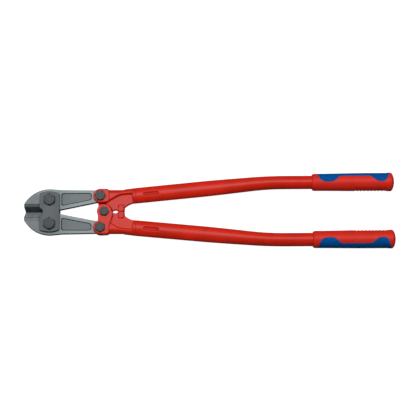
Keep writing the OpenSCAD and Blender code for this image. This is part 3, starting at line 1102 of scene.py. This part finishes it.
def tail_room():
    """Room for the blade's tail from closed to fully open"""
    r = TAIL_R + TAIL_ROOM
    cos_open, sin_open = heading(90 - TAIL_TURN)
    cos_tail, sin_tail = heading(TAIL_SLOPE)
    outline = arc(EAR.x, EAR.y, r, TAIL_SLOPE - 90, 90 - TAIL_TURN, 40) + [
        (EAR.x + r * cos_open - ROOM_REACH * sin_open, EAR.y + r * sin_open + ROOM_REACH * cos_open),
        (EAR.x - ROOM_REACH, EAR.y + ROOM_REACH),
        (EAR.x - ROOM_REACH * cos_tail + r * sin_tail, EAR.y - ROOM_REACH * sin_tail - r * cos_tail),
    ]
    return prism("room", outline, -FORK_Z, FORK_Z)


def bracket_tools():
    """Everything that is cut out of the forging"""
    pad_room = [(PAD_LOW.x, -1), (PAD_HIGH.x, -1), (PAD_HIGH.x, PAD_HIGH.y), (PAD_LOW.x, PAD_HIGH.y)]
    return (
        through(oval(EAR_BOLT_R, EAR_BOLT_R, 64, EAR.x, EAR.y)),
        through(oval(CENTRE_BOLT_R, CENTRE_BOLT_R, 64, CENTRE.x, 0)),
        through(oval(OVAL_LEN / 2, OVAL_WIDE / 2, 64, OVAL_X, 0)),
        through(pad_room),
        tail_room(),
    )


def bracket():
    """The forging that joins ear, lug, web and tube: its parts, all cut to size, are blended into one skin"""
    parts = [
        cheeks(),
        arm(),
        web(),
        lug(),
        oval_bar(-COLLAR_LEN, 0, TUBE_WIDE / 2, TUBE_FLAT / 2, 0.9),
        oval_bar(-1, TANG_LEN, TUBE_WIDE / 2 - TANG_GAP, TUBE_FLAT / 2 - TANG_GAP, 0.5),
    ]
    for part in parts:
        for tool in bracket_tools():
            cut(part, tool)
    pick(parts[0])
    for part in parts[1:]:
        part.select_set(True)
    bpy.ops.object.join()
    piece = parts[0]
    apply_modifier(piece, "REMESH", mode="VOXEL", voxel_size=sizes("forged_voxel"), adaptivity=0)
    apply_modifier(piece, "SMOOTH", factor=0.5, iterations=bpy.context.scene.cutter_sizes.forged_smoothing)
    pick(piece)
    bpy.ops.object.shade_smooth()
    return piece


def stop_pad():
    """A rounded block that stands proud of the web on both faces"""
    edge = 1.6
    outline = rounded(
        [
            (PAD_LOW.x, PAD_LOW.y, edge),
            (PAD_HIGH.x, PAD_LOW.y, edge),
            (PAD_HIGH.x, PAD_HIGH.y, edge * 1.5),
            (PAD_LOW.x, PAD_HIGH.y, edge * 1.5),
        ]
    )
    piece = prism("pad", outline, PAD_LOW.z, PAD_HIGH.z)
    soften(piece, edge * 0.9, 4)
    smooth_shading(piece, 50)
    return piece


# ---------------------------------------------------------------- tubes

ROUND_D = 27.6
BEND_X = 119.5
BEND_HALF = 35.5
TAPER_FROM = 131
TAPER_TO = 292
DIMPLE_AT = 31.4
DIMPLE_HALF_LEN = 12
DIMPLE_R = 4.4
DIMPLE_LIP = 0.7
DIMPLE_WALL = DIMPLE_R - 1
# How deep, as a part of the whole depth, a crimp has to be to take the darker crimp finish, which is painted
# shade
CRIMP_SHADE_FROM = 0.35
# Distances between the tube's rings of corners: at its crimp, in its bend, and in the grip
FINE_STEP = 0.8
BEND_STEP = 5
STRAIGHT_STEP = 12

START_D = (BEND_X - TUBE_START_X) / math.cos(math.radians(SPLAY))
STRAIGHT_LEN = START_D - BEND_HALF
BEND_R = BEND_HALF / math.tan(math.radians(SPLAY) / 2)
BEND_LEN = BEND_R * math.radians(SPLAY)


def tube_line(d):
    """Place and direction of the tube's centre line at distances along it"""
    turn = math.radians(SPLAY) * (1 - np.clip((d - STRAIGHT_LEN) / BEND_LEN, 0, 1))
    cos_splay, sin_splay = heading(SPLAY)
    start = Vector((BEND_X - START_D * cos_splay, GRIP_Y - START_D * sin_splay))
    straight_x = start.x + d * cos_splay
    straight_y = start.y + d * sin_splay
    bend_end = BEND_X + BEND_HALF
    after = d > STRAIGHT_LEN
    past = np.maximum(d - STRAIGHT_LEN - BEND_LEN, 0)
    x = np.where(after, bend_end - BEND_R * np.sin(turn) + past, straight_x)
    y = np.where(after, GRIP_Y - BEND_R * (1 - np.cos(turn)), straight_y)
    return x, y, turn


def crimp(d, across):
    """How deep the crimp is at distances along and across the tube, from 0 outside to 1 in its middle"""
    along = np.maximum(np.abs(d - DIMPLE_AT) - DIMPLE_HALF_LEN, 0)
    return smooth_step((DIMPLE_R + DIMPLE_LIP - np.hypot(along, across)) / DIMPLE_WALL)


def tube():
    """A hollow tube: oval at the bracket, round in the grip, with a long bend and a crimp on both faces"""
    total = STRAIGHT_LEN + BEND_LEN + TUBE_END_X - BEND_X - BEND_HALF
    crimp_end = DIMPLE_AT + DIMPLE_HALF_LEN + DIMPLE_R + 2
    crimp_start = DIMPLE_AT - DIMPLE_HALF_LEN - DIMPLE_R - 2
    stations = np.concatenate(
        [
            np.arange(FINE_STEP, 3, FINE_STEP),
            np.arange(crimp_start, crimp_end, FINE_STEP),
            np.arange(crimp_end + 4, TAPER_TO + 20, BEND_STEP),
            np.arange(TAPER_TO + 30, total - 5, STRAIGHT_STEP),
        ]
    )
    piece = prism("tube", oval(1, 1, 112), 0, total, "X", [float(s) for s in stations])
    normals = face_values(piece)[1]
    edit(piece, np.nonzero(np.abs(normals[:, 0]) > 0.9)[0])
    bpy.ops.mesh.delete(type="FACE")
    close()
    middles = face_values(piece)[0]
    pressed = crimp(middles[:, 0], middles[:, 1] * TUBE_WIDE / 2)
    # Faces deep in a crimp take the painted shade
    piece.data.polygons.foreach_set("material_index", (pressed > CRIMP_SHADE_FROM).astype(np.int32))
    co = corners_of(piece)
    d = co[:, 0].copy()
    t = smooth_step((d - TAPER_FROM) / (TAPER_TO - TAPER_FROM))
    half_wide = (TUBE_WIDE + (ROUND_D - TUBE_WIDE) * t) / 2
    half_flat = (TUBE_FLAT + (ROUND_D - TUBE_FLAT) * t) / 2
    across, up = co[:, 1] * half_wide, co[:, 2] * half_flat
    up -= np.sign(up) * crimp(d, across) * sizes("dimple_depth")
    x, y, turn = tube_line(d)
    co[:, 0] = x - across * np.sin(turn)
    co[:, 1] = y + across * np.cos(turn)
    co[:, 2] = up
    move_corners(piece, co)
    apply_modifier(piece, "SOLIDIFY", thickness=sizes("tube_wall"), offset=-1, use_rim=True)
    smooth_shading(piece, 40)
    return piece


# ---------------------------------------------------------------- grips

FRONT_R = 17.7
REAR_R = 18.7
END_R = 19.28
BORE_R = 13.85
FLANGE_X = GRIP_END_X - 15.6
DOME_X = GRIP_END_X - 8
COLUMNS = 96
EDGE_COLUMN = 24
RING = 0.9
GRIP_TAPER_FROM = 5
GRIP_TAPER_LEN = 105

# The inlay's edge on each face of the grip: place along the grip, and distance outwards from its axis
INLAY_EDGE = [
    (10, 16.4),
    (13, 9),
    (16.5, 3.4),
    (20.5, 0),
    (25, -1.9),
    (41.5, -1.9),
    (46.5, 0.2),
    (51.5, 5),
    (55.5, 8.9),
    (59, 10.2),
    (118.5, 10),
    (121.5, 8.9),
    (126, 4.8),
    (131, 0.4),
    (137, -1.9),
    (146, -1.9),
    (151, 0.4),
    (154, 4.8),
    (156.4, 10),
    (158.5, 16.4),
]
# Steps along the grip over which the corners of the inlay's edge are evened out
INLAY_ROUNDING = [-2.4, -1.6, -0.8, 0, 0.8, 1.6, 2.4]
INLAY_ENDS = (GRIP_X + 9.5, GRIP_X + 158.8)
# Cosine of the smallest angle between the grip's outer side and the inlay's edge
INLAY_NARROWEST = 0.93
POCKET_D = 1.6
INLAY_T = 1.35
# How far the inlay stands out of the shell, which is a little less than flush
INLAY_PROUD = -0.02
RIBS = 9
RIB_FROM = 132
RIB_FADE = 14
RIB_RUN_IN = 1.5
RIB_SHARPNESS = 0.7


def grip_profile():
    """Radius and place of the grip's outside from its front to its end, closed by its bore"""
    bore_end = TUBE_END_X + 0.2
    front = [
        (BORE_R, GRIP_X + 0.4),
        (BORE_R + 0.4, GRIP_X),
        (FRONT_R - 2.3, GRIP_X),
        (FRONT_R - 1.7, GRIP_X + 0.25),
        (FRONT_R - 0.5, GRIP_X + 2.2),
        (FRONT_R, GRIP_X + 4.5),
    ]
    stations = np.arange(GRIP_X + 5.4, FLANGE_X - 0.4, RING)
    taper = np.clip((stations - GRIP_X - GRIP_TAPER_FROM) / GRIP_TAPER_LEN, 0, 1)
    side = [(float(FRONT_R + (REAR_R - FRONT_R) * t), float(x)) for t, x in zip(smooth_step(taper), stations)]
    flange = [
        (REAR_R, FLANGE_X),
        (REAR_R + 0.12, FLANGE_X + 0.7),
        (END_R - 0.1, FLANGE_X + 2.0),
        *((END_R, FLANGE_X + step) for step in (3.0, 4.0, 5.0, 6.0)),
        (END_R, DOME_X),
    ]
    rise = GRIP_END_X - DOME_X
    dome = [(END_R * cos, DOME_X + rise * sin) for cos, sin in (heading(a) for a in range(8, 90, 8))]
    bore = [(0, GRIP_END_X), (0, bore_end), (BORE_R, bore_end)]
    back = [(BORE_R, float(x)) for x in np.arange(bore_end - 12, GRIP_X + 6, -12)]
    return front + side + flange + dome + bore + back + [front[0]]


def inlay_angle(x, radius, gap):
    """Angle from the grip's outer side to the inlay's edge"""
    places, offsets = zip(*INLAY_EDGE)
    nearby = [np.interp(x - GRIP_X + step, places, offsets) for step in INLAY_ROUNDING]
    offset = np.mean(nearby, axis=0) + gap
    return np.arccos(np.clip(offset / radius, -1, INLAY_NARROWEST))


def inlay_faces(piece):
    """Numbers of the faces that the inlay covers, while the columns of corners are still even"""
    middles = face_values(piece)[0]
    y, z = middles[:, 1] - GRIP_Y, middles[:, 2]
    covered = np.abs(np.arctan2(z, y)) < 2 * math.pi * EDGE_COLUMN / COLUMNS
    covered &= np.hypot(y, z) > BORE_R + 2
    covered &= (middles[:, 0] > INLAY_ENDS[0]) & (middles[:, 0] < INLAY_ENDS[1])
    return np.nonzero(covered)[0]


def shape_grip(piece, gap):
    """Turns the columns of corners so that two of them follow the inlay's edge, and presses in the ribs"""
    co = corners_of(piece)
    x = co[:, 0].copy()
    y, z = co[:, 1] - GRIP_Y, co[:, 2]
    radius = np.hypot(y, z)
    angle = np.arctan2(z, y)
    outside = radius > BORE_R + 1
    even = 2 * math.pi * EDGE_COLUMN / COLUMNS
    edge = inlay_angle(x, np.maximum(radius, 1), gap)
    size = np.abs(angle)
    past = edge + (size - even) * (math.pi - edge) / (math.pi - even)
    moved = np.where(size <= even, size * edge / even, past)
    front = smooth_step((x - GRIP_X - 0.3) / 8)
    ends = front * smooth_step((GRIP_END_X - 4 - x) / 6)
    angle = np.where(outside, np.sign(angle) * (size + (moved - size) * ends), angle)
    pitch = sizes("rib_pitch")
    last = FLANGE_X - 2
    first = last - RIBS * pitch
    in_ribs = smooth_step((x - first) / RIB_RUN_IN) * smooth_step((last - x) / RIB_RUN_IN)
    wave = (0.5 - 0.5 * np.cos(2 * math.pi * (x - first) / pitch)) ** RIB_SHARPNESS
    side = smooth_step((np.abs(angle) - math.radians(RIB_FROM)) / math.radians(RIB_FADE))
    radius = radius - np.where(outside, sizes("rib_depth") * wave * in_ribs * side, 0)
    co[:, 1] = GRIP_Y + radius * np.cos(angle)
    co[:, 2] = radius * np.sin(angle)
    move_corners(piece, co)


def grip_and_inlay():
    """The hard shell with a pocket, and the soft inlay that fills the pocket"""
    shell = turned("grip", grip_profile(), (0, GRIP_Y, 0), COLUMNS, "X")
    faces = inlay_faces(shell)
    gap = sizes("inlay_gap")
    skin = copy_of(shell, "inlay")
    shape_grip(shell, 0)
    shape_grip(skin, gap)
    edit(skin, faces)
    bpy.ops.mesh.select_all(action="INVERT")
    bpy.ops.mesh.delete(type="FACE")
    bpy.ops.mesh.select_all(action="SELECT")
    bpy.ops.transform.shrink_fatten(value=INLAY_PROUD)
    close()
    co = corners_of(skin)
    co[:, 0] = np.clip(co[:, 0], co[:, 0].min() + gap, co[:, 0].max() - gap)
    move_corners(skin, co)
    apply_modifier(skin, "SOLIDIFY", thickness=INLAY_T, offset=-1, use_rim=True, use_even_offset=True)
    soften(skin, 0.25, 2, 50)
    smooth_shading(skin, 40)
    edit(shell, faces)
    bpy.ops.mesh.extrude_region_shrink_fatten(TRANSFORM_OT_shrink_fatten={"value": -POCKET_D})
    close()
    smooth_shading(shell, 35)
    return shell, skin


# ---------------------------------------------------------------- stage

CAMERA_ELEVATION = 80
CAMERA_DISTANCE = 2.9
CAMERA_LENS = 121.1
CAMERA_AIM = (0.001, 0.0031)
CAMERA_ROLL = 0.35
FLOOR_SIZE = 30
WORLD_LIGHT = 0.14


def floor_finish():
    """A plain floor that shines white"""
    finish = Finish("pale_floor")
    grain = finish.noise(0.02, 2)
    base = finish.blend(grain, (0.2, 0.2, 0.2, 1), (0.24, 0.24, 0.24, 1))
    return finish.surface(
        Base_Color=base,
        Roughness=0.9,
        Specular_IOR_Level=0.1,
        Emission_Color=(1, 1, 1, 1),
        Emission_Strength=1.0,
    )


def soft_light(name, place, width, depth, power):
    """An area light that points at the middle of the tool"""
    clear_selection()
    bpy.ops.object.light_add(type="AREA", location=place)
    light = bpy.context.object
    light.name = name
    light.data.shape = "RECTANGLE"
    light.data.size = width
    light.data.size_y = depth
    light.data.energy = power
    light.rotation_euler = (-Vector(place)).to_track_quat("-Z", "Y").to_euler()
    return light


# ---------------------------------------------------------------- operators


class CUTTERS_OT_link_plates(bpy.types.Operator):
    """Makes the two plates that hold the blades together"""

    bl_idname = "cutters.link_plates"
    bl_label = "Link Plates"

    def execute(self, context):
        front = link_plate()
        # The plate's side walls are darkened as painted shade over their dark skin
        two_finishes(front, plate_steel(), skin_and_painted_shade("plate_side_skin_and_painted_shade", shade(colours("plate"), 0.25)))
        rear = turned_over(front, "rear")
        put(front, "front_link_plate", "plate_steel")
        put(rear, "rear_link_plate", "plate_steel")
        return {"FINISHED"}


class CUTTERS_OT_blades(bpy.types.Operator):
    """Makes the two blades. The upper one's bolt hole is a slot, because its joint is the open one"""

    bl_idname = "cutters.blades"
    bl_label = "Blades"

    def execute(self, context):
        tint = colours("blade")
        finishes = [
            blade_steel("blasted_steel", tint),
            blade_steel("blasted_panel_steel", shade(tint, 0.58)),
            # The blades' side walls are darkened as painted shade over their dark skin
            skin_and_painted_shade("blade_side_skin_and_painted_shade", shade(tint, 0.08)),
            # The panels' walls and the bevels' grooves are painted dark as shade
            skin_and_painted_shade("panel_wall_painted_shade", shade(tint, 0.08)),
            ground_steel("ground_land", shade(tint, 1.2)),
        ]
        # One ground finish in two copies: painted shade on the upper blade's bevel, a painted highlight on
        # the lower blade's bevel
        shaded_bevel = ground_steel("painted_shade_bevel", shade(tint, 0.36))
        lit_bevel = ground_steel("painted_highlight_bevel", shade(tint, 2.1))
        low, high = HEAD.y - SLOT_DROP, HEAD.y + SLOT_RISE
        slot = arc(HEAD.x, high, SLOT_R, 0, 180, 24) + arc(HEAD.x, low, SLOT_R, 180, 360, 24)
        upper = blade(through(slot), *finishes, shaded_bevel)
        hole = oval(HEAD_BOLT_R, HEAD_BOLT_R, 48, HEAD.x, HEAD.y)
        lower = mirrored(blade(through(hole), *finishes, lit_bevel), SIDEWAYS)
        put(upper, "upper_blade", "blade_steel")
        put(lower, "lower_blade", "blade_steel")
        return {"FINISHED"}


class CUTTERS_OT_bolts(bpy.types.Operator):
    """Makes the five bolts"""

    bl_idname = "cutters.bolts"
    bl_label = "Bolts"

    def execute(self, context):
        finishes = bolt_steel(), bolt_painted_shade_steel()
        for node in BOLTS:
            piece = bolt(node)
            # The sides and corners of each head take the painted shade
            two_finishes(piece, *finishes, HEAD_FLAT)
            put(piece, node, "dark_bolt")
        return {"FINISHED"}


class CUTTERS_OT_washers(bpy.types.Operator):
    """Makes the washers under the nuts"""

    bl_idname = "cutters.washers"
    bl_label = "Washers"

    def execute(self, context):
        material = washer_steel()
        for node in ("upper_ear_washer", "lower_ear_washer", "centre_washer"):
            hole_r = SHANK_R[kind_of(node)] + HOLE_ROOM
            put(washer(*node_box(node), hole_r), node, "washer_steel", material)
        washers = pair("head_washers", lambda low, high: washer(low, high, HEAD_BOLT_R))
        put(washers, "head_washers", "washer_steel", material)
        return {"FINISHED"}


class CUTTERS_OT_nuts(bpy.types.Operator):
    """Makes the nuts, on which the head of the tool rests"""

    bl_idname = "cutters.nuts"
    bl_label = "Nuts"

    def execute(self, context):
        material = bpy.data.materials["black_oxide_steel"]
        for node in ("upper_ear_nut", "lower_ear_nut", "centre_nut"):
            put(nut(*node_box(node), kind_of(node)), node, "dark_bolt", material)
        put(pair("head_nuts", lambda low, high: nut(low, high, "head")), "head_nuts", "dark_bolt", material)
        return {"FINISHED"}


class CUTTERS_OT_brackets(bpy.types.Operator):
    """Makes the two forged brackets"""

    bl_idname = "cutters.brackets"
    bl_label = "Brackets"

    def execute(self, context):
        material = red_paint("red_powder_coat", colours("paint"), 0.25)
        put_both(bracket(), "bracket", "red_paint", material)
        return {"FINISHED"}


class CUTTERS_OT_stop_pads(bpy.types.Operator):
    """Makes the pads on which the closed handles meet"""

    bl_idname = "cutters.stop_pads"
    bl_label = "Stop Pads"

    def execute(self, context):
        put_both(stop_pad(), "stop_pad", "red_pad", red_pad())
        return {"FINISHED"}


class CUTTERS_OT_tubes(bpy.types.Operator):
    """Makes the two handle tubes"""

    bl_idname = "cutters.tubes"
    bl_label = "Tubes"

    def execute(self, context):
        upper = tube()
        upper.data.materials.append(bpy.data.materials["red_powder_coat"])
        # The crimps' finish is the paint darkened as painted shade, with less gleam
        upper.data.materials.append(red_paint("red_crimp_painted_shade", shade(colours("paint"), 0.8), 0.1))
        put_both(upper, "tube", "red_paint")
        return {"FINISHED"}


class CUTTERS_OT_grips(bpy.types.Operator):
    """Makes the two grips, each a hard shell with a soft inlay"""

    bl_idname = "cutters.grips"
    bl_label = "Grips"

    def execute(self, context):
        shell, inlay = grip_and_inlay()
        put_both(shell, "grip", "red_plastic", red_plastic())
        put_both(inlay, "grip_inlay", "blue_rubber", blue_rubber())
        return {"FINISHED"}


class CUTTERS_OT_stage(bpy.types.Operator):
    """Makes the floor, the soft light and the camera"""

    bl_idname = "cutters.stage"
    bl_label = "Stage"

    def execute(self, context):
        scene = context.scene
        clear_selection()
        bpy.ops.mesh.primitive_plane_add(size=FLOOR_SIZE)
        floor = context.object
        floor.name = "floor"
        floor.data.materials.append(floor_finish())
        floor.visible_diffuse = False
        floor.visible_glossy = False

        world = bpy.data.worlds.new("studio")
        world.use_nodes = True
        sky = world.node_tree.nodes["Background"].inputs
        sky["Color"].default_value = (1, 1, 1, 1)
        sky["Strength"].default_value = WORLD_LIGHT
        scene.world = world
        soft_light("key", (0, 0.55, 1.95), 3.2, 0.55, 45)
        fill = soft_light("north_fill", (0, 2.0, 1.5), 4.0, 1.6, 6)
        fill.visible_glossy = False

        elevation = math.radians(CAMERA_ELEVATION)
        aim = Vector((*CAMERA_AIM, mid_z))
        back = Vector((0, -math.cos(elevation), math.sin(elevation)))
        bpy.ops.object.camera_add(location=aim + back * CAMERA_DISTANCE)
        camera = context.object
        turn = Matrix.Rotation(math.radians(90 - CAMERA_ELEVATION), 4, "X")
        roll = Matrix.Rotation(math.radians(-CAMERA_ROLL), 4, "Z")
        camera.rotation_euler = (turn @ roll).to_euler()
        camera.data.lens = CAMERA_LENS
        camera.data.sensor_width = 36
        camera.data.clip_end = 50
        scene.camera = camera
        scene.view_settings.view_transform = "Standard"
        return {"FINISHED"}


BUILDERS = (
    CUTTERS_OT_link_plates,
    CUTTERS_OT_blades,
    CUTTERS_OT_bolts,
    CUTTERS_OT_washers,
    CUTTERS_OT_nuts,
    CUTTERS_OT_brackets,
    CUTTERS_OT_stop_pads,
    CUTTERS_OT_tubes,
    CUTTERS_OT_grips,
    CUTTERS_OT_stage,
)


class CUTTERS_PT_panel(bpy.types.Panel):
    """Sizes, colours and the steps that build the cutters"""

    bl_idname = "CUTTERS_PT_panel"
    bl_label = "Bolt Cutters"
    bl_space_type = "VIEW_3D"
    bl_region_type = "UI"
    bl_category = "Cutters"

    def draw(self, context):
        for settings in (context.scene.cutter_sizes, context.scene.cutter_colours):
            box = self.layout.box()
            for name in settings.__annotations__:
                box.prop(settings, name)
        for builder in BUILDERS:
            self.layout.operator(builder.bl_idname)


CLASSES = (CutterSizes, CutterColours, *BUILDERS, CUTTERS_PT_panel)


def register():
    for cls in CLASSES:
        bpy.utils.register_class(cls)
    bpy.types.Scene.cutter_sizes = bpy.props.PointerProperty(type=CutterSizes)
    bpy.types.Scene.cutter_colours = bpy.props.PointerProperty(type=CutterColours)


def unregister():
    del bpy.types.Scene.cutter_colours
    del bpy.types.Scene.cutter_sizes
    for cls in reversed(CLASSES):
        bpy.utils.unregister_class(cls)


def main():
    register()
    bpy.ops.cutters.link_plates()
    bpy.ops.cutters.blades()
    bpy.ops.cutters.bolts()
    bpy.ops.cutters.washers()
    bpy.ops.cutters.nuts()
    bpy.ops.cutters.brackets()
    bpy.ops.cutters.stop_pads()
    bpy.ops.cutters.tubes()
    bpy.ops.cutters.grips()
    bpy.ops.cutters.stage()


if __name__ == "__main__":
    main()
